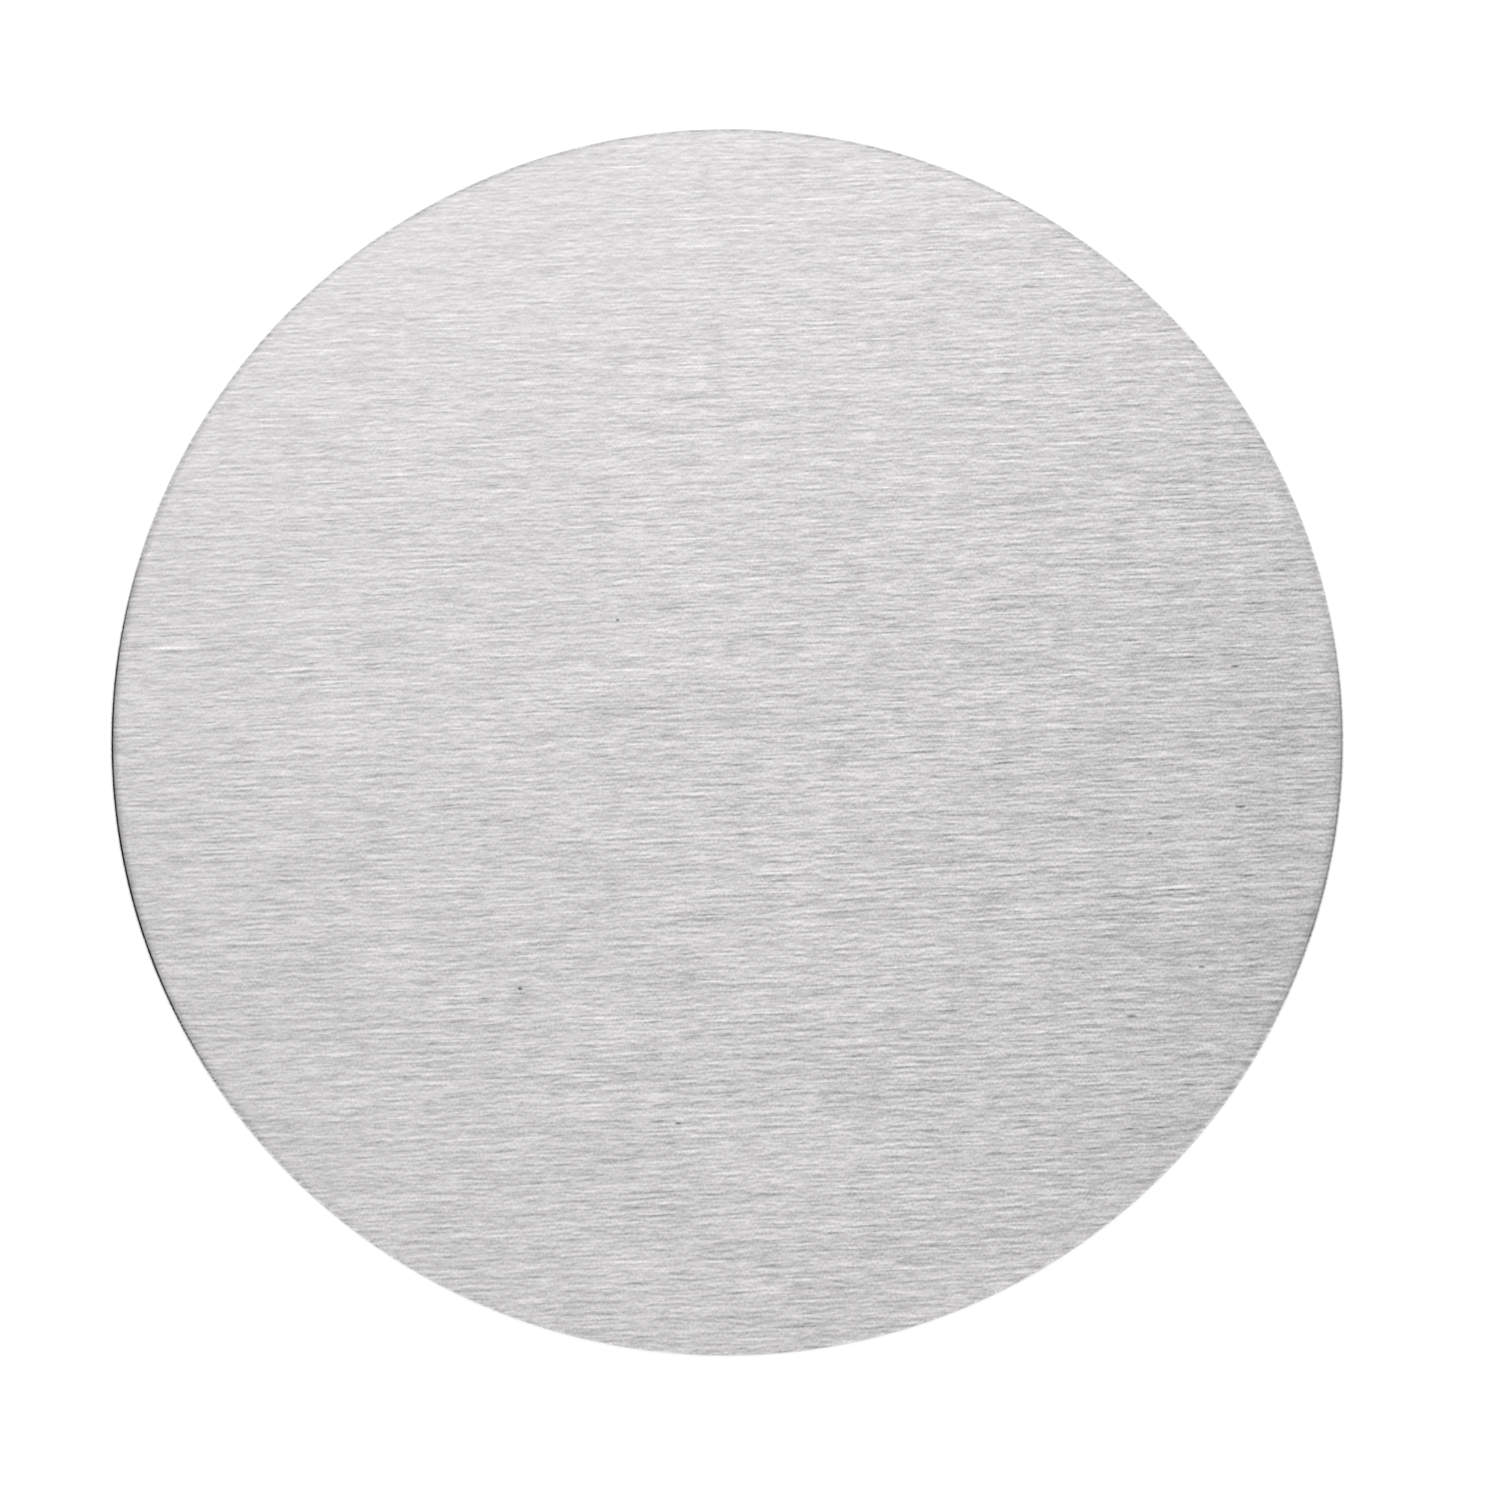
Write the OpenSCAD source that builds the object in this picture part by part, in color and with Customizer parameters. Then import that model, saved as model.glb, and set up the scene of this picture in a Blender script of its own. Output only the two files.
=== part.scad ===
// Flat round coaster for a wine bottle.
// A disc blanked from brushed stainless sheet stands on a sheet of black foam rubber,
// and a film of adhesive joins the two over the whole width of the rubber.
// The origin is the middle of the underside, +Z is up, and the brushed grain runs along X.
// All sizes are in millimetres.

/* [Steel disc] */
// Diameter over the wall
disc_d = 120; // [100:1:150]
// Thickness of the sheet
disc_t = 1.5; // [1.3:0.1:3]

/* [Rim of the disc] */
// Width of the band that the blanking die draws down
rim_w = 1.1; // [0.7:0.05:1.5]
// Radius of the drawn-down band
rim_r = 4.7; // [3:0.1:12]
// Radius of the upper corner after deburring
corner_r = 0.45; // [0.25:0.05:0.6]
// Height of the straight burnished land under the upper corner
land_h = 0.35; // [0.1:0.05:0.5]
// Inward slope of the broken part of the wall, below the land
break_in = 0.05; // [0.02:0.01:0.1]
// Width of the bevel that deburring leaves on the lower corner
bevel_w = 0.12; // [0.05:0.01:0.25]

/* [Foam rubber pad] */
// Thickness of the pad
pad_t = 2; // [1:0.1:4]
// Distance from the wall of the disc in to the edge of the pad
pad_inset = 1.5; // [0.5:0.1:5]
// Depth of the hollow that the cutting die leaves in the edge of the pad
cut_hollow = 0.1; // [0.03:0.01:0.2]

/* [Adhesive film] */
// Thickness of the film
film_t = 0.15; // [0.1:0.01:0.3]

/* [Hidden] */

steel_grey = [0.81, 0.81, 0.81];
film_white = [0.86, 0.84, 0.78];
rubber_black = [0.06, 0.06, 0.06];

// How far the rim's band laps over its neighbours
overrun = 0.5;
// Sides of a full turn, and of the small arcs in the outlines
turn_fn = 240;
arc_fn = 96;

disc_radius = disc_d / 2;

// The film is cut in one stroke with the pad, so both have the pad's radius
pad_radius = disc_radius - pad_inset;

// Stack of the three layers, from the table up
film_z = pad_t;
disc_z = film_z + film_t;

// The drawn-down band is an arc that leaves the flat face level and touches the corner's arc
rim_start = disc_radius - rim_w;
corner_x = disc_radius - corner_r;
corner_depth = rim_r - sqrt(pow(rim_r - corner_r, 2) - pow(rim_w - corner_r, 2));
corner_y = disc_t - corner_depth;
rim_angle = asin((rim_w - corner_r) / (rim_r - corner_r));

// The wall is straight down to land_y, slopes in to the bevel, and then follows the bevel
land_y = corner_y - land_h;
bevel_top_x = disc_radius - break_in * (1 - bevel_w / land_y);
bevel_foot_x = disc_radius - break_in - bevel_w;

// Half outline of the disc, drawn with its underside on Y = 0 and its axis on X = 0
module disc_outline() {
    square([rim_start, disc_t]);
    wall_outline();
    rim_band();
    translate([corner_x, corner_y]) circle(r = corner_r, $fn = arc_fn);
}

// Everything under the centre of the upper corner: the burnished land, the sloped break and the bevel
module wall_outline() {
    polygon([
        [0, 0],
        [bevel_foot_x, 0],
        [bevel_top_x, bevel_w],
        [disc_radius, land_y],
        [disc_radius, corner_y],
        [0, corner_y]
    ]);
}

// The part of the big circle above the underside, up to the line through its centre and the corner's.
// It laps over the flat inner face and the wall outline
module rim_band() {
    level = rim_r - disc_t;
    reach = rim_r + overrun;
    slope = tan(rim_angle);
    translate([rim_start, disc_t - rim_r])
        intersection() {
            circle(r = rim_r, $fn = arc_fn);
            polygon([
                [-overrun, level],
                [level * slope, level],
                [reach * slope, reach],
                [-overrun, reach]
            ]);
        }
}

// Half outline of the pad. The knife squeezes the rubber as it cuts, so the edge springs back hollow
module pad_outline() {
    hollow_r = (pow(pad_t / 2, 2) + pow(cut_hollow, 2)) / (2 * cut_hollow);
    difference() {
        square([pad_radius, pad_t]);
        translate([pad_radius + hollow_r - cut_hollow, pad_t / 2])
            circle(r = hollow_r, $fn = turn_fn);
    }
}

module steel_disc() {
    color(steel_grey)
        translate([0, 0, disc_z])
            rotate_extrude($fn = turn_fn) disc_outline();
}

module adhesive_film() {
    color(film_white)
        translate([0, 0, film_z])
            cylinder(r = pad_radius, h = film_t, $fn = turn_fn);
}

module foam_pad() {
    color(rubber_black)
        rotate_extrude($fn = turn_fn) pad_outline();
}

steel_disc();
adhesive_film();
foam_pad();
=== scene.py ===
import math

import bpy
import numpy as np
from mathutils import Matrix, Vector


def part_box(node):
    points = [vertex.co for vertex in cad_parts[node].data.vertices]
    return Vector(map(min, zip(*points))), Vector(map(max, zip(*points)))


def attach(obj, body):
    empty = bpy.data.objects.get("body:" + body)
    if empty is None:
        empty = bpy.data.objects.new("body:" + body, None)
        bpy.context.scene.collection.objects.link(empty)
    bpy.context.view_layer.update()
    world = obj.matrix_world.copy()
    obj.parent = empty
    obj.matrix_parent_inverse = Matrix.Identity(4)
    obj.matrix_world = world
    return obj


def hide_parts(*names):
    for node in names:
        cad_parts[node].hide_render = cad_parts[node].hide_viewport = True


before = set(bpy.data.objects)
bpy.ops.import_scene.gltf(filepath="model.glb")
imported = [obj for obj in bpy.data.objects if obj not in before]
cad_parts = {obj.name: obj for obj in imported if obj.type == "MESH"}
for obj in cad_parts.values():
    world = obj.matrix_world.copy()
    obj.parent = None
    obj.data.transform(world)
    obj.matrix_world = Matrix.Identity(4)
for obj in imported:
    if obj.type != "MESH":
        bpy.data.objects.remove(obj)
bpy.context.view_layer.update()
print("frame loaded:", ", ".join(sorted(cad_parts)))

mm = 0.001
rootBody = "root"  # nothing on a coaster moves, so all pieces ride on one body
discLow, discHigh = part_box("steel_disc")
filmLow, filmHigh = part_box("adhesive_film")
padLow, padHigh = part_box("foam_pad")
axisGap = 1e-9  # m; a profile point nearer to the axis than this is on it
leastWave = 0.5  # lowest random weight of a wave round the turn, where the highest is 1


# A profile of (r, z) points is turned round Z: point i at turn a is (r[i] cos a, r[i] sin a, z[i]).
# A profile that starts or ends on the axis gets one pole vertex there, fanned to its ring.
# swell, where given, is a function of the turn angles and the ring numbers that returns what is added
# to r over the whole grid
def turnProfile(name, profile, segments, swell=None):
    radii, heights = profile[:, 0], profile[:, 1]
    onAxis = radii < axisGap
    rings = np.nonzero(~onAxis)[0]
    turns = np.linspace(0, 2 * math.pi, segments, endpoint=False)
    r = np.repeat(radii[rings][:, None], segments, 1)
    z = np.repeat(heights[rings][:, None], segments, 1)
    if swell:
        r = r + swell(turns, rings)
    points = np.stack([r * np.cos(turns), r * np.sin(turns), z], -1).reshape(-1, 3)
    i, j = np.meshgrid(np.arange(len(rings) - 1), np.arange(segments), indexing="ij")
    k = (j + 1) % segments
    here, above = i * segments, (i + 1) * segments
    quads = np.stack([here + j, here + k, above + k, above + j], -1)
    corners = quads.reshape(-1, 4).tolist()
    bands = [np.repeat(rings[:-1], segments)]
    turn = np.arange(segments)
    after = (turn + 1) % segments
    if onAxis[0]:
        pole = np.full(segments, len(points))
        points = np.vstack([points, [0, 0, heights[0]]])
        corners += np.stack([pole, after, turn], -1).tolist()
        bands.append(np.zeros(segments, int))
    if onAxis[-1]:
        pole = np.full(segments, len(points))
        points = np.vstack([points, [0, 0, heights[-1]]])
        ring = (len(rings) - 1) * segments
        corners += np.stack([pole, ring + turn, ring + after], -1).tolist()
        bands.append(np.full(segments, rings[-1]))
    return addMesh(name, points, corners), np.concatenate(bands)


def addMesh(name, points, corners):
    mesh = bpy.data.meshes.new(name)
    mesh.from_pydata(np.asarray(points).tolist(), [], corners)
    piece = bpy.data.objects.new(name, mesh)
    bpy.context.scene.collection.objects.link(piece)
    return piece


# Points on a circle round (r, z), at equal steps of an angle that is zero outwards and grows upwards
def arcPoints(r, z, radius, startDeg, endDeg, steps):
    a = np.radians(np.linspace(startDeg, endDeg, steps))
    return np.stack([r + radius * np.cos(a), z + radius * np.sin(a)], -1)


# Points on the straight line between two (r, z) points, both ends included
def linePoints(start, end, steps):
    return np.linspace(start, end, steps)


# Smooth noise round the circle: a sum of whole waves with seeded phases and weights, scaled to stay
# within -1 and 1
def ringNoise(turns, waves, seed):
    random = np.random.default_rng(seed)
    phases = random.uniform(0, 2 * math.pi, len(waves))
    weights = random.uniform(leastWave, 1, len(waves))
    total = sum(w * np.sin(n * turns + p) for n, w, p in zip(waves, weights, phases))
    return total / weights.sum()


def shadeSmooth(piece, sharpDeg):
    piece.data.shade_smooth()
    piece.data.set_sharp_from_angle(angle=math.radians(sharpDeg))


def dress(piece, node):
    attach(piece, rootBody)
    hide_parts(node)


# Node helpers. newNode returns the node, and the others that work something out return its socket
def newNode(tree, kind, **settings):
    node = tree.nodes.new(kind)
    for key, value in settings.items():
        setattr(node, key, value)
    return node


def feed(tree, socket, value):
    if isinstance(value, bpy.types.NodeSocket):
        tree.links.new(value, socket)
    else:
        socket.default_value = value


def calc(tree, operation, *values):
    node = newNode(tree, "ShaderNodeMath", operation=operation)
    for socket, value in zip(node.inputs, values):
        feed(tree, socket, value)
    return node.outputs[0]


def calcVector(tree, operation, *values):
    node = newNode(tree, "ShaderNodeVectorMath", operation=operation)
    for socket, value in zip(node.inputs, values):
        feed(tree, socket, value)
    return node.outputs[0]


def splitVector(tree, vector):
    node = newNode(tree, "ShaderNodeSeparateXYZ")
    feed(tree, node.inputs[0], vector)
    return node.outputs


def joinVector(tree, x, y, z):
    node = newNode(tree, "ShaderNodeCombineXYZ")
    for socket, value in zip(node.inputs, (x, y, z)):
        feed(tree, socket, value)
    return node.outputs[0]


def remap(tree, value, fromMin, fromMax, toMin=0.0, toMax=1.0, shape="SMOOTHSTEP"):
    node = newNode(tree, "ShaderNodeMapRange", interpolation_type=shape)
    for socket, given in zip(node.inputs, (value, fromMin, fromMax, toMin, toMax)):
        feed(tree, socket, given)
    return node.outputs[0]


# Start plus the sum of each value times its weight
def weighted(tree, start, terms):
    total = start
    for value, weight in terms:
        node = newNode(tree, "ShaderNodeMath", operation="MULTIPLY_ADD")
        for socket, given in zip(node.inputs, (value, weight, total)):
            feed(tree, socket, given)
        total = node.outputs[0]
    return total


def tinted(tree, colour, tone):
    node = newNode(tree, "ShaderNodeVectorMath", operation="SCALE")
    node.inputs[0].default_value = colour
    feed(tree, node.inputs["Scale"], tone)
    return node.outputs[0]


def addBump(tree, shader, height, depth):
    bump = newNode(tree, "ShaderNodeBump")
    bump.inputs["Strength"].default_value = 1
    bump.inputs["Distance"].default_value = depth
    feed(tree, bump.inputs["Height"], height)
    tree.links.new(bump.outputs[0], shader.inputs["Normal"])


def newMaterial(name):
    material = bpy.data.materials.new(name)
    material.use_nodes = True
    tree = material.node_tree
    tree.nodes.clear()
    shader = newNode(tree, "ShaderNodeBsdfPrincipled")
    tree.links.new(shader.outputs[0], newNode(tree, "ShaderNodeOutputMaterial").inputs["Surface"])
    place = newNode(tree, "ShaderNodeTexCoord").outputs["Object"]
    return material, tree, shader, place


def newGroup(name, inputs, outputs):
    tree = bpy.data.node_groups.new(name, "ShaderNodeTree")
    for label, kind, value in inputs:
        socket = tree.interface.new_socket(name=label, in_out="INPUT", socket_type=kind)
        if value is not None:
            socket.default_value = value
    for label in outputs:
        kind = "NodeSocketVector" if label == "Vector" else "NodeSocketFloat"
        tree.interface.new_socket(name=label, in_out="OUTPUT", socket_type=kind)
    given = newNode(tree, "NodeGroupInput").outputs
    out = newNode(tree, "NodeGroupOutput").inputs
    return tree, given, out


def placeGroup(tree, group, **values):
    node = newNode(tree, "ShaderNodeGroup", node_tree=group)
    for label, value in values.items():
        feed(tree, node.inputs[label], value)
    return node.outputs


strokeInputs = [
    ("Vector", "NodeSocketVector", None),
    ("Length", "NodeSocketFloat", 2 * mm),
    ("Width", "NodeSocketFloat", 0.3 * mm),
    ("Angle", "NodeSocketFloat", 0.0),
]
seedSpread = (17.3, 5.1, 9.7)  # how far apart two seeds sample the same noise


# A stroke's own form, in its lengths along it and in its widths across it
strokeForm = {
    "taper": (0.05, 0.45),  # from its middle, where it starts to fade and where it ends
    "core": 0.28,  # half width of the stroke
    "flankAt": 0.34,  # how far to one side its shaded flank lies
    "flank": 0.26,  # half width of the flank
}
grainForm = {
    "flankShadeAt": 0.8,  # how far beside a stroke its darker line of painted shade lies, in widths
    "gain": 3.0,  # brings the difference of the noises to about -1 to 1
}
fleckForm = {
    "scatter": 0.75,  # 0 sets the strokes in rows, 1 scatters them fully
    "weakest": 0.3,  # strength of the weakest one, where the strongest has 1
}
poreFloor = 0.3  # share of a pore's size that is its flat floor


# Coordinates along and across a stroke: a place turned by Angle, then measured in Lengths and Widths
def strokeSpace(tree, given, place):
    turned = newNode(tree, "ShaderNodeVectorRotate", rotation_type="Z_AXIS")
    feed(tree, turned.inputs["Vector"], place)
    feed(tree, turned.inputs["Angle"], given["Angle"])
    sizes = joinVector(tree, given["Length"], given["Width"], given["Width"])
    return calcVector(tree, "DIVIDE", turned.outputs[0], sizes)


def seededSpace(tree, given):
    offset = calcVector(tree, "MULTIPLY", given["Seed"], seedSpread)
    return calcVector(tree, "ADD", strokeSpace(tree, given, given["Vector"]), offset)


# A stroke with tapered ends, from the distances along and across it in its own length and width:
# the mark itself, and the shade on one flank
def strokeShape(tree, gap):
    full, end = strokeForm["taper"]
    taper = remap(tree, calc(tree, "ABSOLUTE", gap[0]), full, end, 1.0, 0.0)
    core = remap(tree, calc(tree, "ABSOLUTE", gap[1]), 0.0, strokeForm["core"], 1.0, 0.0)
    beside = calc(tree, "ABSOLUTE", calc(tree, "ADD", gap[1], strokeForm["flankAt"]))
    flank = remap(tree, beside, 0.0, strokeForm["flank"], 1.0, 0.0)
    return calc(tree, "MULTIPLY", core, taper), calc(tree, "MULTIPLY", flank, taper)


# Waver: moves a place sideways by slow noise, so that strokes bend and cross at small angles
def buildWaverGroup():
    inputs = [
        ("Vector", "NodeSocketVector", None),
        ("Reach", "NodeSocketFloat", 0.2 * mm),
        ("Length", "NodeSocketFloat", 6 * mm),
        ("Seed", "NodeSocketFloat", 0.0),
    ]
    tree, given, out = newGroup("waver", inputs, ["Vector"])
    noise = newNode(tree, "ShaderNodeTexNoise", noise_dimensions="4D")
    noise.inputs["Detail"].default_value = 0
    feed(tree, noise.inputs["Vector"], given["Vector"])
    feed(tree, noise.inputs["W"], given["Seed"])
    feed(tree, noise.inputs["Scale"], calc(tree, "DIVIDE", 1.0, given["Length"]))
    centred = calc(tree, "SUBTRACT", noise.outputs["Fac"], 0.5)
    shift = joinVector(tree, 0.0, calc(tree, "MULTIPLY", centred, given["Reach"]), 0.0)
    feed(tree, out["Vector"], calcVector(tree, "ADD", given["Vector"], shift))
    return tree


# Grain: noise drawn out along the stroke, less a share of the same noise a little to the side, a painted
# shade, because a stroke that catches the light has a darker line beside it. Value runs from about -1 to 1
def buildGrainGroup():
    inputs = strokeInputs + [("Burr", "NodeSocketFloat", 0.25), ("Seed", "NodeSocketFloat", 1.0)]
    tree, given, out = newGroup("grain", inputs, ["Value"])
    start = seededSpace(tree, given)
    values = []
    for sideways in (0.0, grainForm["flankShadeAt"]):
        noise = newNode(tree, "ShaderNodeTexNoise", noise_dimensions="3D")
        noise.inputs["Scale"].default_value = 1
        noise.inputs["Detail"].default_value = 0
        feed(tree, noise.inputs["Vector"], calcVector(tree, "ADD", start, (0.0, sideways, 0.0)))
        values.append(calc(tree, "SUBTRACT", noise.outputs["Fac"], 0.5))
    beside = calc(tree, "MULTIPLY", values[1], given["Burr"])
    difference = calc(tree, "SUBTRACT", values[0], beside)
    feed(tree, out["Value"], calc(tree, "MULTIPLY", difference, grainForm["gain"]))
    return tree


# Flecks: separate strokes, one to a cell of a stretched Voronoi pattern. Share of the cells hold one
def buildFleckGroup():
    inputs = strokeInputs + [("Share", "NodeSocketFloat", 0.3), ("Seed", "NodeSocketFloat", 1.0)]
    tree, given, out = newGroup("flecks", inputs, ["Mask", "Side"])
    start = seededSpace(tree, given)
    cells = newNode(tree, "ShaderNodeTexVoronoi", voronoi_dimensions="2D", feature="F1")
    cells.inputs["Scale"].default_value = 1
    cells.inputs["Randomness"].default_value = fleckForm["scatter"]
    feed(tree, cells.inputs["Vector"], start)
    gap = splitVector(tree, calcVector(tree, "SUBTRACT", start, cells.outputs["Position"]))
    mark, flank = strokeShape(tree, gap)
    picks = splitVector(tree, cells.outputs["Color"])
    there = calc(tree, "LESS_THAN", picks[0], given["Share"])
    power = remap(tree, picks[1], 0.0, 1.0, fleckForm["weakest"], 1.0, "LINEAR")
    strength = calc(tree, "MULTIPLY", there, power)
    feed(tree, out["Mask"], calc(tree, "MULTIPLY", mark, strength))
    feed(tree, out["Side"], calc(tree, "MULTIPLY", flank, strength))
    return tree


# Mark: one stroke at a given place
def buildMarkGroup():
    inputs = strokeInputs + [("Place", "NodeSocketVector", None)]
    tree, given, out = newGroup("mark", inputs, ["Mask", "Side"])
    moved = calcVector(tree, "SUBTRACT", given["Vector"], given["Place"])
    mark, flank = strokeShape(tree, splitVector(tree, strokeSpace(tree, given, moved)))
    feed(tree, out["Mask"], mark)
    feed(tree, out["Side"], flank)
    return tree


# Pores: round hollows of Size, in a Share of the cells of a Voronoi pattern of Spacing
def buildPoreGroup():
    inputs = [
        ("Vector", "NodeSocketVector", None),
        ("Spacing", "NodeSocketFloat", 0.7 * mm),
        ("Size", "NodeSocketFloat", 0.2 * mm),
        ("Share", "NodeSocketFloat", 0.5),
    ]
    tree, given, out = newGroup("pores", inputs, ["Mask"])
    cells = newNode(tree, "ShaderNodeTexVoronoi", voronoi_dimensions="3D", feature="F1")
    feed(tree, cells.inputs["Vector"], given["Vector"])
    feed(tree, cells.inputs["Scale"], calc(tree, "DIVIDE", 1.0, given["Spacing"]))
    reach = calc(tree, "DIVIDE", given["Size"], given["Spacing"])
    picks = splitVector(tree, cells.outputs["Color"])
    there = calc(tree, "LESS_THAN", picks[0], given["Share"])
    floorEnd = calc(tree, "MULTIPLY", reach, poreFloor)
    hollow = remap(tree, cells.outputs["Distance"], floorEnd, reach, 1.0, 0.0)
    feed(tree, out["Mask"], calc(tree, "MULTIPLY", hollow, there))
    return tree


waverGroup = buildWaverGroup()
grainGroup = buildGrainGroup()
fleckGroup = buildFleckGroup()
markGroup = buildMarkGroup()
poreGroup = buildPoreGroup()


# Even, cloudy unevenness of a given size. Stretch below 1 draws it out along the axis of the coaster
def speckle(tree, place, size, seed, stretch=None):
    if stretch:
        place = calcVector(tree, "MULTIPLY", place, (1.0, 1.0, stretch))
    return placeGroup(tree, grainGroup, Vector=place, Length=size, Width=size, Burr=0.0, Seed=seed)["Value"]


# A Tone is the share of the colour that a mark adds, a Rough is what it adds to the roughness, and a
# Height is its height in depths of that finish. A Seed only picks which random marks there are. Keys
# that start with a capital name the sockets of a node group
steelDisc = {
    "segments": 1200,
    "steps": {"under": 6, "wall": 7, "corner": 13, "band": 9, "face": 7},  # points along each part
    "sharpAngle": 25,  # degrees; a steeper fold between faces stays sharp
    "bandWidth": 1.1 * mm,  # what the blanking die drew down
    "bandRadius": 4.7 * mm,
    "cornerRadius": 0.45 * mm,
    "landHeight": 0.35 * mm,  # burnished part of the wall
    "breakIn": 0.05 * mm,  # inward slope of the broken part
    "bevelWidth": 0.12 * mm,
    "breakGrit": 0.008 * mm,  # unevenness of the broken part
    "breakSeed": 3,
    "brushed": {
        "colour": (0.608, 0.595, 0.602),
        "roughness": 0.306,
        "anisotropy": 0.4,
        "depth": 0.0008 * mm,  # of the belt's grooves
        # strokes of the belt: length, width, angle in degrees, which bend they follow, tone
        "strokes": [
            (0.25 * mm, 0.30 * mm, 0.0, None, 0.126),
            (1.0 * mm, 0.25 * mm, -1.5, 0, 0.134),
            (2.2 * mm, 0.30 * mm, 1.5, 1, 0.139),
            (6.5 * mm, 0.31 * mm, 0.5, 0, 0.144),
        ],
        # bends: how far sideways, over which length, seed
        "bends": [(0.16 * mm, 5 * mm, 1.0), (0.22 * mm, 9 * mm, 7.0)],
        # painted shade: the grain's contrast is lower at the top of the face and higher towards the right
        # and the foot, as grooves away from the softbox shade more: mean gain, and its change over one
        # radius along X, along Y, and along the square of Y
        "grainShadeGain": (1.04, 0.22, -0.25, -0.30),
        "patches": {"Length": 3 * mm, "Width": 0.8 * mm, "Burr": 0.0, "Seed": 8.0},
        "bright": {
            "Length": 6 * mm, "Width": 0.45 * mm, "Angle": math.radians(1), "Share": 0.3, "Seed": 5.0,
        },
        "dark": {
            "Length": 3.2 * mm, "Width": 0.40 * mm, "Angle": math.radians(-1), "Share": 0.3, "Seed": 6.0,
        },
        "cloudSize": 4 * mm,
        "cloudStretch": 0.4,  # below 1 draws the clouds out along X
        "patchTone": 0.046,
        "cloudTone": 0.11,
        "brightTone": 0.19,
        "brightShade": -0.11,  # beside a bright stroke
        "darkTone": -0.24,
        # pits: painted shade in their hollows. Scratches: a painted highlight along them, and painted shade
        # on one flank
        "pitShade": -0.75,
        "scratchHighlight": 0.30,
        "scratchShade": -0.14,
        "strokeRough": -0.04,
        "cloudRough": 0.10,
        "brightRough": -0.08,
        "darkRough": 0.08,
        "scratchRough": -0.1,
        "pitHeight": -3.0,
        "shadeHeight": -1.0,
    },
    # marks on the face: x, y, length and width in mm, angle in degrees, strength
    "pits": [
        (-10.1, 11.4, 0.60, 0.90, 0, 1.1),
        (-21.0, -24.0, 0.70, 0.85, 0, 1.1),
        (37.8, -29.3, 1.50, 0.85, 0, 1.0),
        (49.4, -9.6, 1.60, 0.85, 0, 1.0),
        (-6.3, -37.6, 0.90, 0.70, 0, 1.0),
        (44.8, -24.9, 1.00, 0.70, 0, 0.9),
        (49.7, 4.1, 1.20, 0.70, 0, 1.0),
        (40.5, -11.8, 0.80, 0.65, 0, 0.7),
    ],
    "scratches": [
        (42.4, -17.1, 9.0, 0.90, 1.0, 1.8),
        (-53.3, 10.7, 8.0, 0.90, 0.5, 1.1),
        (16.8, -34.3, 7.0, 0.80, -0.5, 1.2),
        (-41.5, 8.0, 8.0, 0.90, 1.5, 1.2),
        (34.3, -9.7, 7.0, 0.80, 0.0, 0.8),
        (53.0, -18.4, 7.0, 0.80, 0.5, 1.5),
        (23.0, 9.1, 7.0, 0.90, 0.5, 1.2),
        (9.5, 7.2, 7.0, 0.80, -0.5, 0.9),
    ],
    "burnished": {
        "colour": (0.592, 0.580, 0.587),
        "roughness": 0.20,
        "depth": 0.003 * mm,
        "runOff": (0.35 * mm, 0.10 * mm),  # depths below the face between which the strokes fade out
        "lineSize": 0.16 * mm,
        "lineStretch": 0.06,
        "lineSeed": 21.0,
        "patchSize": 1.6 * mm,
        "patchSeed": 22.0,
        "strokeTone": 1.2,
        "lineTone": 0.08,
        "patchTone": 0.05,
        "strokeRough": -0.2,
        "lineRough": 0.05,
        "patchRough": 0.04,
        "strokeHeight": 0.7,
    },
    "broken": {
        "colour": (0.44, 0.43, 0.43),
        "roughness": 0.55,
        "depth": 0.02 * mm,
        "gritSize": 0.12 * mm,
        "gritSeed": 8.0,
        "tearSize": 0.5 * mm,
        "tearStretch": 0.4,
        "tearSeed": 9.0,
        "gritTone": 0.16,
        "tearTone": 0.12,
        "gritRough": 0.08,
        "tearRough": 0.06,
        "tearHeight": 0.8,
    },
    "mill": {
        "colour": (0.50, 0.49, 0.49),
        "roughness": 0.42,
        "depth": 0.001 * mm,
        "lines": {"Length": 12 * mm, "Width": 0.3 * mm, "Seed": 10.0},
        "lineTone": 0.05,
        "lineRough": 0.06,
    },
}


# Values and tones of the belt's strokes, and the bent places that they follow
def beltStrokes(tree, place):
    s = steelDisc["brushed"]
    bends = [
        placeGroup(tree, waverGroup, Vector=place, Reach=reach, Length=length, Seed=seed)["Vector"]
        for reach, length, seed in s["bends"]
    ]
    layers = []
    for seed, (length, width, angle, bend, tone) in enumerate(s["strokes"], 1):
        where = place if bend is None else bends[bend]
        value = placeGroup(tree, grainGroup, Vector=where, Length=length, Width=width,
                           Angle=math.radians(angle), Seed=float(seed))["Value"]
        layers.append((value, tone))
    return layers, bends


# Painted shade of the grain: a gain on its contrast, the mean plus its slopes along x and y and
# its curve along y, with x and y in radii of the disc
def grainShadeGainAt(tree, place):
    mean, alongX, alongY, curveY = steelDisc["brushed"]["grainShadeGain"]
    radius = discHigh.x
    x, y, _ = splitVector(tree, place)
    squareY = calc(tree, "MULTIPLY", y, y)
    terms = [(x, alongX / radius), (y, alongY / radius), (squareY, curveY / radius ** 2)]
    return weighted(tree, mean, terms)


# Sums of the masks and of the shaded flanks of single marks, each times its strength
def placeMarks(tree, place, marks):
    mask, side = 0.0, 0.0
    for x, y, length, width, angle, strength in marks:
        mark = placeGroup(tree, markGroup, Vector=place, Place=(x * mm, y * mm, 0.0),
                          Length=length * mm, Width=width * mm, Angle=math.radians(-angle))
        mask = weighted(tree, mask, [(mark["Mask"], strength)])
        side = weighted(tree, side, [(mark["Side"], strength)])
    return mask, side
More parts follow.
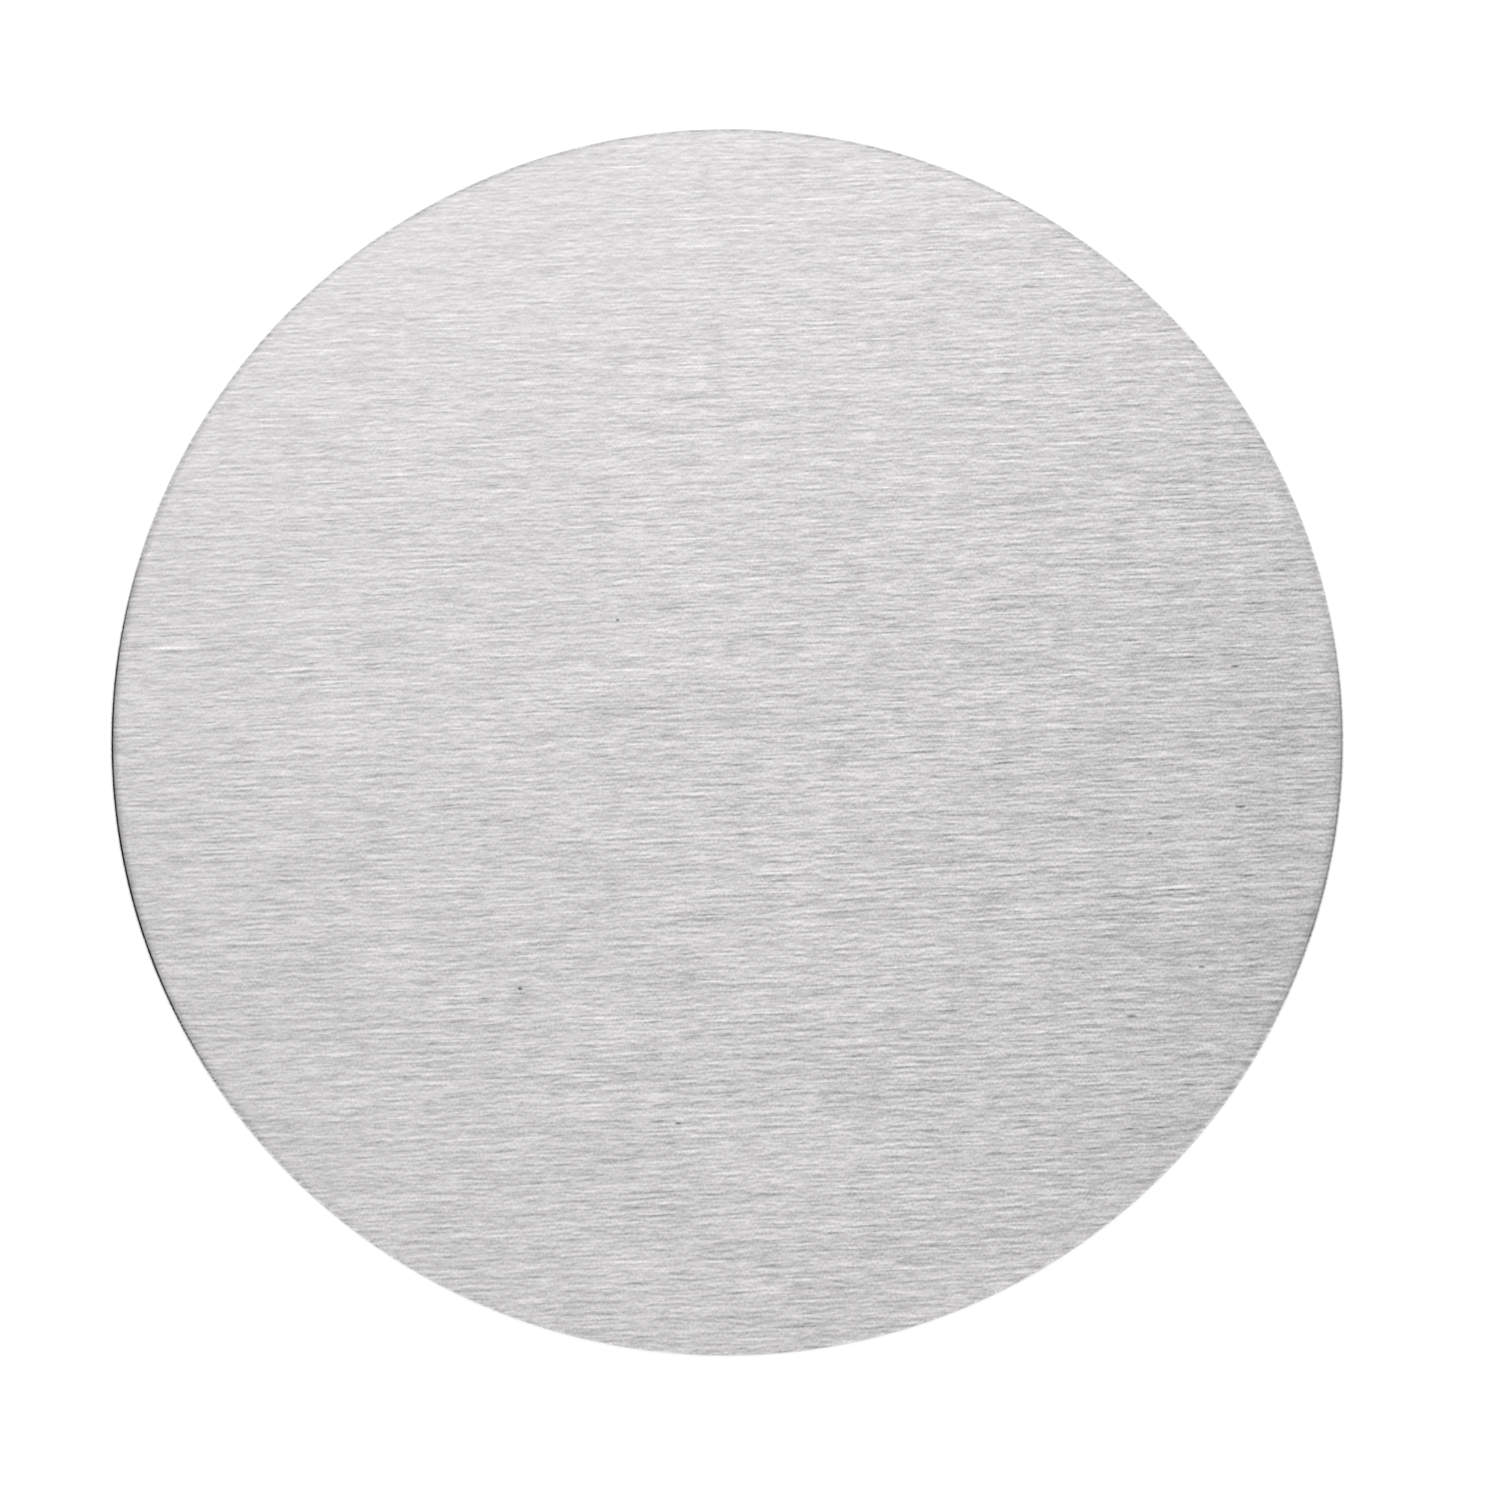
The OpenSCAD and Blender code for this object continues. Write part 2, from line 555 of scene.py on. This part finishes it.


# The belt-brushed face: four layers of strokes with bright and dark ones among them, faint clouds,
# and the few pits and scratches that can be told apart. The pits are real dents with painted shade
# in their hollows. The scratches are smoother grooves with a painted highlight along them and
# painted shade on one flank
def buildBrushedSteel():
    s = steelDisc["brushed"]
    material, tree, shader, place = newMaterial("brushedSteel")
    layers, bends = beltStrokes(tree, place)
    patches = placeGroup(tree, grainGroup, Vector=bends[1], **s["patches"])["Value"]
    bright = placeGroup(tree, fleckGroup, Vector=bends[1], **s["bright"])
    dark = placeGroup(tree, fleckGroup, Vector=bends[0], **s["dark"])["Mask"]
    clouds = newNode(tree, "ShaderNodeTexNoise", noise_dimensions="3D")
    clouds.inputs["Scale"].default_value = 1 / s["cloudSize"]
    clouds.inputs["Detail"].default_value = 1
    feed(tree, clouds.inputs["Vector"], calcVector(tree, "MULTIPLY", place, (s["cloudStretch"], 1.0, 1.0)))
    cloud = calc(tree, "SUBTRACT", clouds.outputs["Fac"], 0.5)
    pit, _ = placeMarks(tree, place, steelDisc["pits"])
    scratch, shade = placeMarks(tree, place, steelDisc["scratches"])

    grain = weighted(tree, 0.0, layers + [
        (patches, s["patchTone"]), (cloud, s["cloudTone"]), (bright["Mask"], s["brightTone"]),
        (bright["Side"], s["brightShade"]), (dark, s["darkTone"]),
    ])
    # the grain's contrast is scaled by a painted shade that changes over the face
    tone = weighted(tree, 1.0, [
        (grain, grainShadeGainAt(tree, place)), (pit, s["pitShade"]), (scratch, s["scratchHighlight"]),
        (shade, s["scratchShade"]),
    ])
    feed(tree, shader.inputs["Base Color"], tinted(tree, s["colour"], tone))
    rough = weighted(tree, s["roughness"], [
        (layers[1][0], s["strokeRough"]), (cloud, s["cloudRough"]), (bright["Mask"], s["brightRough"]),
        (dark, s["darkRough"]), (scratch, s["scratchRough"]),
    ])
    feed(tree, shader.inputs["Roughness"], rough)
    shader.inputs["Metallic"].default_value = 1
    shader.inputs["Anisotropic"].default_value = s["anisotropy"]
    across = newNode(tree, "ShaderNodeTangent", direction_type="UV_MAP", uv_map="grain")
    tree.links.new(across.outputs[0], shader.inputs["Tangent"])
    grooves = [(value, 1.0) for value, _ in layers[1:]]
    height = weighted(tree, 0.0, grooves + [(pit, s["pitHeight"]), (shade, s["shadeHeight"])])
    addBump(tree, shader, height, s["depth"])
    return material


# The rounded corner and the burnished land: smooth metal with fine lines drawn along the axis by the
# die. The belt's strokes run off over the upper half of the corner and notch it
def buildBurnishedEdge():
    s = steelDisc["burnished"]
    material, tree, shader, place = newMaterial("burnishedEdge")
    lines = speckle(tree, place, s["lineSize"], s["lineSeed"], s["lineStretch"])
    patches = speckle(tree, place, s["patchSize"], s["patchSeed"])
    deepest, shallowest = s["runOff"]
    upper = remap(tree, splitVector(tree, place)[2], discHigh.z - deepest, discHigh.z - shallowest)
    layers, _ = beltStrokes(tree, place)
    strokes = calc(tree, "MULTIPLY", weighted(tree, 0.0, layers), upper)
    tone = weighted(tree, 1.0, [
        (lines, s["lineTone"]), (patches, s["patchTone"]), (strokes, s["strokeTone"]),
    ])
    feed(tree, shader.inputs["Base Color"], tinted(tree, s["colour"], tone))
    rough = weighted(tree, s["roughness"], [
        (lines, s["lineRough"]), (patches, s["patchRough"]), (strokes, s["strokeRough"]),
    ])
    feed(tree, shader.inputs["Roughness"], rough)
    shader.inputs["Metallic"].default_value = 1
    addBump(tree, shader, weighted(tree, lines, [(strokes, s["strokeHeight"])]), s["depth"])
    return material


# The broken part of the wall: a grey, gritty tear with small steps
def buildBrokenEdge():
    s = steelDisc["broken"]
    material, tree, shader, place = newMaterial("brokenEdge")
    grit = speckle(tree, place, s["gritSize"], s["gritSeed"])
    tears = speckle(tree, place, s["tearSize"], s["tearSeed"], s["tearStretch"])
    tone = weighted(tree, 1.0, [(grit, s["gritTone"]), (tears, s["tearTone"])])
    feed(tree, shader.inputs["Base Color"], tinted(tree, s["colour"], tone))
    rough = weighted(tree, s["roughness"], [(grit, s["gritRough"]), (tears, s["tearRough"])])
    feed(tree, shader.inputs["Roughness"], rough)
    shader.inputs["Metallic"].default_value = 1
    addBump(tree, shader, weighted(tree, grit, [(tears, s["tearHeight"])]), s["depth"])
    return material


# The underside as it left the rolling mill: dull, with faint lines along the rolling direction
def buildMillFinish():
    s = steelDisc["mill"]
    material, tree, shader, place = newMaterial("millFinish")
    lines = placeGroup(tree, grainGroup, Vector=place, **s["lines"])["Value"]
    tone = weighted(tree, 1.0, [(lines, s["lineTone"])])
    feed(tree, shader.inputs["Base Color"], tinted(tree, s["colour"], tone))
    feed(tree, shader.inputs["Roughness"], weighted(tree, s["roughness"], [(lines, s["lineRough"])]))
    shader.inputs["Metallic"].default_value = 1
    addBump(tree, shader, lines, s["depth"])
    return material


# Half outline of the disc from the middle of its underside, out over the bevel, up the wall, round the
# corner's arc and back in over the drawn-down band. The two arcs meet where the line through both of
# their centres cuts them. Each run of points carries the finish of the faces that end in it
def discOutline():
    s = steelDisc
    radius, low, high = discHigh.x, discLow.z, discHigh.z
    reach = s["bandRadius"] - s["cornerRadius"]
    lean = math.asin((s["bandWidth"] - s["cornerRadius"]) / reach)
    meeting = 90 - math.degrees(lean)  # elevation of that line
    bandR = radius - s["bandWidth"]
    bandZ = high - s["bandRadius"]
    cornerR = radius - s["cornerRadius"]
    cornerZ = bandZ + reach * math.cos(lean)
    landZ = cornerZ - s["landHeight"]
    footR = radius - s["breakIn"] - s["bevelWidth"]
    bevelZ = low + s["bevelWidth"]
    bevelR = radius - s["breakIn"] * (landZ - bevelZ) / (landZ - low)
    steps = s["steps"]
    corner = arcPoints(cornerR, cornerZ, s["cornerRadius"], 0, meeting, steps["corner"])
    band = arcPoints(bandR, bandZ, s["bandRadius"], meeting, 90, steps["band"])
    face = linePoints((bandR, high), (0, high), steps["face"])
    return [
        ("millFinish", linePoints((0, low), (footR, low), steps["under"])),
        ("brokenEdge", linePoints((bevelR, bevelZ), (radius, landZ), steps["wall"])),
        ("burnishedEdge", corner),
        ("brushedSteel", np.vstack([band[1:], face[1:]])),
    ]


def buildSteelDisc():
    runs = discOutline()
    starts = np.cumsum([0] + [len(points) for _, points in runs])

    # The broken part of the wall, apart from its two edges, is eaten away at random
    def tornWall(turns, rings):
        torn = (rings > starts[1]) & (rings < starts[2] - 1)
        random = np.random.default_rng(steelDisc["breakSeed"])
        grit = random.uniform(-1, 0, (len(rings), len(turns))) * steelDisc["breakGrit"]
        return grit * torn[:, None]

    profile = np.vstack([points for _, points in runs])
    disc, bands = turnProfile("steelDisc", profile, steelDisc["segments"], tornWall)
    makers = {"millFinish": buildMillFinish, "brokenEdge": buildBrokenEdge,
              "burnishedEdge": buildBurnishedEdge, "brushedSteel": buildBrushedSteel}
    for finish, _ in runs:
        disc.data.materials.append(makers[finish]())
    # a band of faces lies between profile points i and i + 1, and takes the finish of the later one
    finishes = np.searchsorted(starts[1:], bands + 1, side="right").clip(0, len(runs) - 1)
    disc.data.polygons.foreach_set("material_index", finishes.astype(np.int32))
    addGrainMap(disc)
    shadeSmooth(disc, steelDisc["sharpAngle"])
    dress(disc, "steel_disc")


# Flat map of the disc with u = y and v = -x, so that u runs across the strokes, the way their flanks
# lean and spread a highlight
def addGrainMap(piece):
    mesh = piece.data
    layer = mesh.uv_layers.new(name="grain")
    points = np.empty(len(mesh.vertices) * 3)
    mesh.vertices.foreach_get("co", points)
    points = points.reshape(-1, 3)
    corner = np.empty(len(mesh.loops), np.int32)
    mesh.loops.foreach_get("vertex_index", corner)
    flat = points[corner][:, [1, 0]] * (1, -1) / (2 * discHigh.x) + 0.5
    layer.data.foreach_set("uv", flat.ravel())


adhesiveFilm = {
    "segments": 720,
    "steps": {"under": 2, "wall": 5, "top": 2},  # points along each part of the profile
    "squeeze": 0.05 * mm,  # how far the adhesive swells out past the carrier
    "waves": [9, 23, 41, 67, 113, 171],  # waves round the turn that make the swell uneven
    "waveSeed": 5,
    "sharpAngle": 40,
    "colour": (0.66, 0.63, 0.55),
    "roughness": 0.42,
    "depth": 0.01 * mm,
    "mottleSize": 1.2 * mm,
    "mottleSeed": 11.0,
    "mottleTone": 0.10,
    "mottleRough": 0.08,
}


def buildAdhesive():
    s = adhesiveFilm
    material, tree, shader, place = newMaterial("adhesive")
    mottle = speckle(tree, place, s["mottleSize"], s["mottleSeed"])
    tone = weighted(tree, 1.0, [(mottle, s["mottleTone"])])
    feed(tree, shader.inputs["Base Color"], tinted(tree, s["colour"], tone))
    feed(tree, shader.inputs["Roughness"], weighted(tree, s["roughness"], [(mottle, s["mottleRough"])]))
    addBump(tree, shader, mottle, s["depth"])
    return material


# A flat disc whose wall swells out by a sine arch over its height, a little unevenly round the turn
def buildAdhesiveFilm():
    s = adhesiveFilm
    radius, low, high = filmHigh.x, filmLow.z, filmHigh.z
    steps = s["steps"]
    under = linePoints((0, low), (radius / 2, low), steps["under"])
    wall = linePoints((radius, low), (radius, high), steps["wall"])
    top = linePoints((radius / 2, high), (0, high), steps["top"])
    profile = np.vstack([under, wall, top])

    def squeezed(turns, rings):
        onWall = profile[rings, 0] >= radius
        arch = np.sin(math.pi * (profile[rings, 1] - low) / (high - low)) * onWall
        amount = 0.5 + 0.5 * ringNoise(turns, s["waves"], s["waveSeed"])
        return s["squeeze"] * arch[:, None] * amount[None, :]

    film, _ = turnProfile("adhesiveFilm", profile, s["segments"], squeezed)
    film.data.materials.append(buildAdhesive())
    shadeSmooth(film, s["sharpAngle"])
    dress(film, "adhesive_film")


foamPad = {
    "segments": 960,
    "hollow": 0.1 * mm,  # depth of the die-cut edge's hollow
    "lip": 0.12 * mm,  # radius of the lower edge, which the knife crushed
    "lipRoom": 1.2,  # height above which the hollow begins, in radii of the lip
    "cutCells": 0.03 * mm,  # depth of the cells that the knife laid open
    "cutRange": (-1, 0.3),  # their random depths and rims, in those depths
    "cutSeed": 8,
    "cutWave": 0.03 * mm,  # how unevenly the knife ran round the pad
    "waves": [3, 5, 8, 13, 31],
    "waveSeed": 9,
    "steps": {"under": 8, "lip": 5, "wall": 15, "top": 6},  # points along each part of the profile
    "sharpAngle": 40,
    "colour": (0.024, 0.024, 0.025),
    "roughness": 0.74,
    "depth": 0.04 * mm,  # of the cells on the surface
    "cellSize": 0.24 * mm,
    "cellEdge": (0.1, 0.6),  # distances from a cell's middle over which it rises, in cells
    "coarseSize": 1.1 * mm,
    "coarseSeed": 31.0,
    "broadSize": 5 * mm,
    "broadSeed": 32.0,
    "pores": {"Spacing": 0.7 * mm, "Size": 0.22 * mm, "Share": 0.6},
    "baseTone": 0.75,
    "cellTone": 0.5,
    "coarseTone": 0.4,
    "broadTone": 0.15,
    # painted shade in the pores' hollows
    "poreShade": -0.6,
    "cellRough": 0.08,
    "coarseRough": 0.05,
    "poreRough": 0.1,
    "poreHeight": -1.5,
    "coarseHeight": 0.4,
}


# Closed-cell foam rubber: small cells with open pores among them, mottled in two coarser sizes. The pores
# are real dents and carry painted shade in their hollows
def buildFoamRubber():
    s = foamPad
    material, tree, shader, place = newMaterial("foamRubber")
    cells = newNode(tree, "ShaderNodeTexVoronoi", voronoi_dimensions="3D", feature="F1")
    cells.inputs["Scale"].default_value = 1 / s["cellSize"]
    feed(tree, cells.inputs["Vector"], place)
    cell = remap(tree, cells.outputs["Distance"], *s["cellEdge"])
    coarse = speckle(tree, place, s["coarseSize"], s["coarseSeed"])
    broad = speckle(tree, place, s["broadSize"], s["broadSeed"])
    pores = placeGroup(tree, poreGroup, Vector=place, **s["pores"])["Mask"]
    tone = weighted(tree, s["baseTone"], [
        (cell, s["cellTone"]), (coarse, s["coarseTone"]), (broad, s["broadTone"]), (pores, s["poreShade"]),
    ])
    feed(tree, shader.inputs["Base Color"], tinted(tree, s["colour"], tone))
    rough = weighted(tree, s["roughness"], [
        (cell, s["cellRough"]), (coarse, s["coarseRough"]), (pores, s["poreRough"]),
    ])
    feed(tree, shader.inputs["Roughness"], rough)
    height = weighted(tree, cell, [(pores, s["poreHeight"]), (coarse, s["coarseHeight"])])
    addBump(tree, shader, height, s["depth"])
    return material


# Flat below and above. The wall is a hollow arc through the pad's upper edge and its lower corner, cut
# short by the arc of the crushed lip
def buildFoamPad():
    s = foamPad
    radius, low, high = padHigh.x, padLow.z, padHigh.z
    half = (high - low) / 2
    hollowR = (half ** 2 + s["hollow"] ** 2) / (2 * s["hollow"])
    swing = math.degrees(math.asin(half / hollowR))
    middleR = radius + hollowR - s["hollow"]
    steps = s["steps"]
    wall = arcPoints(middleR, low + half, hollowR, 180 + swing, 180 - swing, steps["wall"])
    wall = wall[wall[:, 1] > low + s["lipRoom"] * s["lip"]]
    lip = arcPoints(radius - s["lip"], low + s["lip"], s["lip"], -90, 0, steps["lip"])
    lip[:, 0] = np.minimum(lip[:, 0], radius - s["hollow"] / 2)
    under = linePoints((0, low), (radius - s["lip"], low), steps["under"])[:-1]
    top = linePoints((radius, high), (0, high), steps["top"])[1:]
    profile = np.vstack([under, lip, wall, top])
    wallFirst = len(under) + 1
    wallLast = len(under) + len(lip) + len(wall) - 2

    def cutCells(turns, rings):
        random = np.random.default_rng(s["cutSeed"])
        cells = random.uniform(*s["cutRange"], (len(rings), len(turns))) * s["cutCells"]
        wave = ringNoise(turns, s["waves"], s["waveSeed"]) * s["cutWave"]
        onWall = (rings >= wallFirst) & (rings <= wallLast)
        return (cells + wave[None, :]) * onWall[:, None]

    pad, _ = turnProfile("foamPad", profile, s["segments"], cutCells)
    pad.data.materials.append(buildFoamRubber())
    shadeSmooth(pad, s["sharpAngle"])
    dress(pad, "foam_pad")


studio = {
    "floorSize": 6.0,
    "floorDrop": 0.015 * mm,  # keeps the floor out of the plane of the pad's underside
    "floorColour": (0.80, 0.80, 0.80),
    "floorLift": 0.55,  # what the camera and the metal see over the lit floor
    "worldLevel": 0.85,  # what lights matt surfaces
    "softboxAt": (-0.068, 0.407, 1.0),
    "softboxSize": (0.64, 0.36),
    "softboxRadiance": 0.492,
    "flagDistance": 1.5,
    "flagSteps": 48,
    # Dark cards that only reflections see. Azimuth and spread to each side, lowest and highest
    # elevation, and the elevations over which a card fades to white below its upper edge, in degrees
    "flags": {
        "leftFlag": {"azimuth": 180, "spread": 23.4, "low": 8, "high": 72.4, "fade": 19.4, "grey": 0.0},
        "rightFlag": {"azimuth": 354.5, "spread": 18.4, "low": 8, "high": 82.5, "fade": 0.5, "grey": 0.435},
    },
}


# An empty material for the studio's own pieces, with the surface socket to feed
def stageMaterial(name):
    material = bpy.data.materials.new(name)
    material.use_nodes = True
    tree = material.node_tree
    tree.nodes.clear()
    return material, tree, newNode(tree, "ShaderNodeOutputMaterial").inputs["Surface"]


# 1 for rays from the camera, and for those that metal or glass sends on
def seenShare(tree):
    path = newNode(tree, "ShaderNodeLightPath").outputs
    seen = calc(tree, "MAXIMUM", path["Is Camera Ray"], path["Is Glossy Ray"])
    return calc(tree, "MAXIMUM", seen, path["Is Transmission Ray"])


def buildFloor():
    half, level = studio["floorSize"] / 2, -studio["floorDrop"]
    square = [(-half, -half, level), (half, -half, level), (half, half, level), (-half, half, level)]
    floor = addMesh("floor", square, [(0, 1, 2, 3)])
    material, tree, surface = stageMaterial("paper")
    matt = newNode(tree, "ShaderNodeBsdfDiffuse")
    matt.inputs["Color"].default_value = (*studio["floorColour"], 1)
    lift = newNode(tree, "ShaderNodeEmission")
    feed(tree, lift.inputs["Strength"], calc(tree, "MULTIPLY", seenShare(tree), studio["floorLift"]))
    both = newNode(tree, "ShaderNodeAddShader")
    tree.links.new(matt.outputs[0], both.inputs[0])
    tree.links.new(lift.outputs[0], both.inputs[1])
    tree.links.new(both.outputs[0], surface)
    floor.data.materials.append(material)


# White to the camera and to metal, and a little less to matt surfaces
def buildWorld():
    world = bpy.data.worlds.new("studio")
    world.use_nodes = True
    tree = world.node_tree
    tree.nodes.clear()
    light = newNode(tree, "ShaderNodeBackground")
    light.inputs["Color"].default_value = (1, 1, 1, 1)
    level = weighted(tree, studio["worldLevel"], [(seenShare(tree), 1 - studio["worldLevel"])])
    feed(tree, light.inputs["Strength"], level)
    tree.links.new(light.outputs[0], newNode(tree, "ShaderNodeOutputWorld").inputs["Surface"])
    bpy.context.scene.world = world


# A lamp's power gives its radiance over its whole face: power = radiance * pi * area
def buildSoftbox():
    lamp = bpy.data.lights.new("softbox", "AREA")
    lamp.shape = "RECTANGLE"
    lamp.size, lamp.size_y = studio["softboxSize"]
    lamp.energy = studio["softboxRadiance"] * math.pi * lamp.size * lamp.size_y
    box = bpy.data.objects.new("softbox", lamp)
    box.location = studio["softboxAt"]
    box.rotation_mode = "QUATERNION"
    box.rotation_quaternion = Vector(studio["softboxAt"]).to_track_quat("Z", "Y")
    bpy.context.scene.collection.objects.link(box)


# A patch of a sphere round the coaster: azimuth a and elevation e are its two parameters,
# and a point is (cos a cos e, sin a cos e, sin e) times the distance
def buildFlag(name, settings):
    steps = studio["flagSteps"]
    distance = studio["flagDistance"]
    turn = np.linspace(-settings["spread"], settings["spread"], steps) + settings["azimuth"]
    rise = np.linspace(settings["low"], settings["high"], steps)
    a, e = np.meshgrid(np.radians(turn), np.radians(rise))
    points = np.stack([np.cos(a) * np.cos(e), np.sin(a) * np.cos(e), np.sin(e)], -1) * distance
    i, j = np.meshgrid(np.arange(steps - 1), np.arange(steps - 1), indexing="ij")
    first = i * steps + j
    quads = np.stack([first, first + steps, first + steps + 1, first + 1], -1)
    flag = addMesh(name, points.reshape(-1, 3), quads.reshape(-1, 4).tolist())
    material, tree, surface = stageMaterial(name)
    place = newNode(tree, "ShaderNodeTexCoord").outputs["Object"]
    elevation = calc(tree, "ARCSINE", calc(tree, "DIVIDE", splitVector(tree, place)[2], distance))
    top = math.radians(settings["high"])
    fade = math.radians(settings["fade"])
    glow = newNode(tree, "ShaderNodeEmission")
    shade = remap(tree, elevation, top - fade, top, settings["grey"], 1.0, "LINEAR")
    feed(tree, glow.inputs["Strength"], shade)
    tree.links.new(glow.outputs[0], surface)
    flag.data.materials.append(material)
    flag.visible_camera = False
    flag.visible_diffuse = False
    flag.visible_shadow = False
    flag.visible_transmission = False


camera = {
    "lens": 85,  # mm, on a sensor 36 mm wide
    "sensor": 36,
    "distance": 343.9 * mm,
    "aim": (2.21 * mm, -1.91 * mm),  # point of the face that lies in the middle of the picture
    "lean": (0.0055, -0.0988),  # sideways and upwards share of the camera's direction
    "roll": -2.6,  # degrees; the grain rises this much to the right in the picture
    "clip": (0.01, 50),  # m; nearest and farthest that it sees
}


# The camera looks down at the aim point from straight above, less a small lean towards the picture's
# foot. Its own axes are worked out from the roll and the lean, and make up its matrix
def buildCamera():
    s = camera
    roll = math.radians(s["roll"])
    right = Vector((math.cos(roll), math.sin(roll), 0))
    up = Vector((-math.sin(roll), math.cos(roll), 0))
    sideways, upwards = s["lean"]
    steep = math.sqrt(1 - sideways ** 2 - upwards ** 2)
    back = right * sideways + up * upwards + Vector((0, 0, steep))
    up = (up - back * up.dot(back)).normalized()
    right = up.cross(back)
    place = Vector((*s["aim"], discHigh.z)) + back * s["distance"]
    lens = bpy.data.cameras.new("camera")
    lens.lens = s["lens"]
    lens.sensor_width = s["sensor"]
    lens.clip_start, lens.clip_end = s["clip"]
    view = bpy.data.objects.new("camera", lens)
    view.matrix_world = Matrix.Translation(place) @ Matrix((right, up, back)).transposed().to_4x4()
    bpy.context.scene.collection.objects.link(view)
    bpy.context.scene.camera = view


buildCamera()
print("camera placed")
buildWorld()
buildSoftbox()
for flagName, flagSettings in studio["flags"].items():
    buildFlag(flagName, flagSettings)
buildFloor()
print("studio built")
buildSteelDisc()
print("steel disc built")
buildAdhesiveFilm()
print("adhesive film built")
buildFoamPad()
print("foam pad built")

bpy.context.scene.view_settings.view_transform = "Standard"
